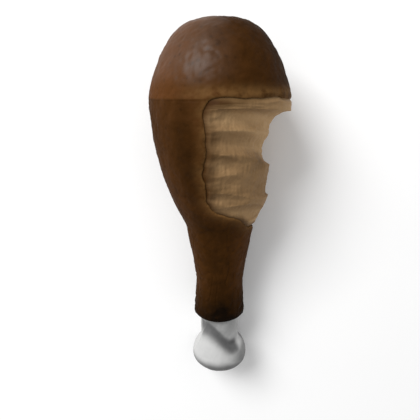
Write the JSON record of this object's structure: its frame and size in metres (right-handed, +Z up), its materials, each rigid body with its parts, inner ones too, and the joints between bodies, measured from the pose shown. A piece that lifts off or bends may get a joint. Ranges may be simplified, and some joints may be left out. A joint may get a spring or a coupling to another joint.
{
  "type": "roasted chicken leg",
  "caption": "roasted chicken leg lying on its back: browned skin round tan meat, a bite with tooth furrows in its side, and a pale bone whose knob stands out of the thin end",
  "frame": {"origin": "on the surface that the leg lies on, under the middle of the leg's bounding box", "axes": "+Y points along the leg towards its thick end, +X to the bitten side, +Z up, towards the side that the picture shows"},
  "size_m": [0.0505, 0.1361, 0.0484],
  "materials": {
    "browned_skin": "roasted, greasy",
    "cooked_meat": "moist, fibrous",
    "clean_bone": "dull"
  },
  "bodies": {
    "root": {"skin": "browned_skin", "meat": "cooked_meat", "bone": "clean_bone"}
  },
  "joints": []
}
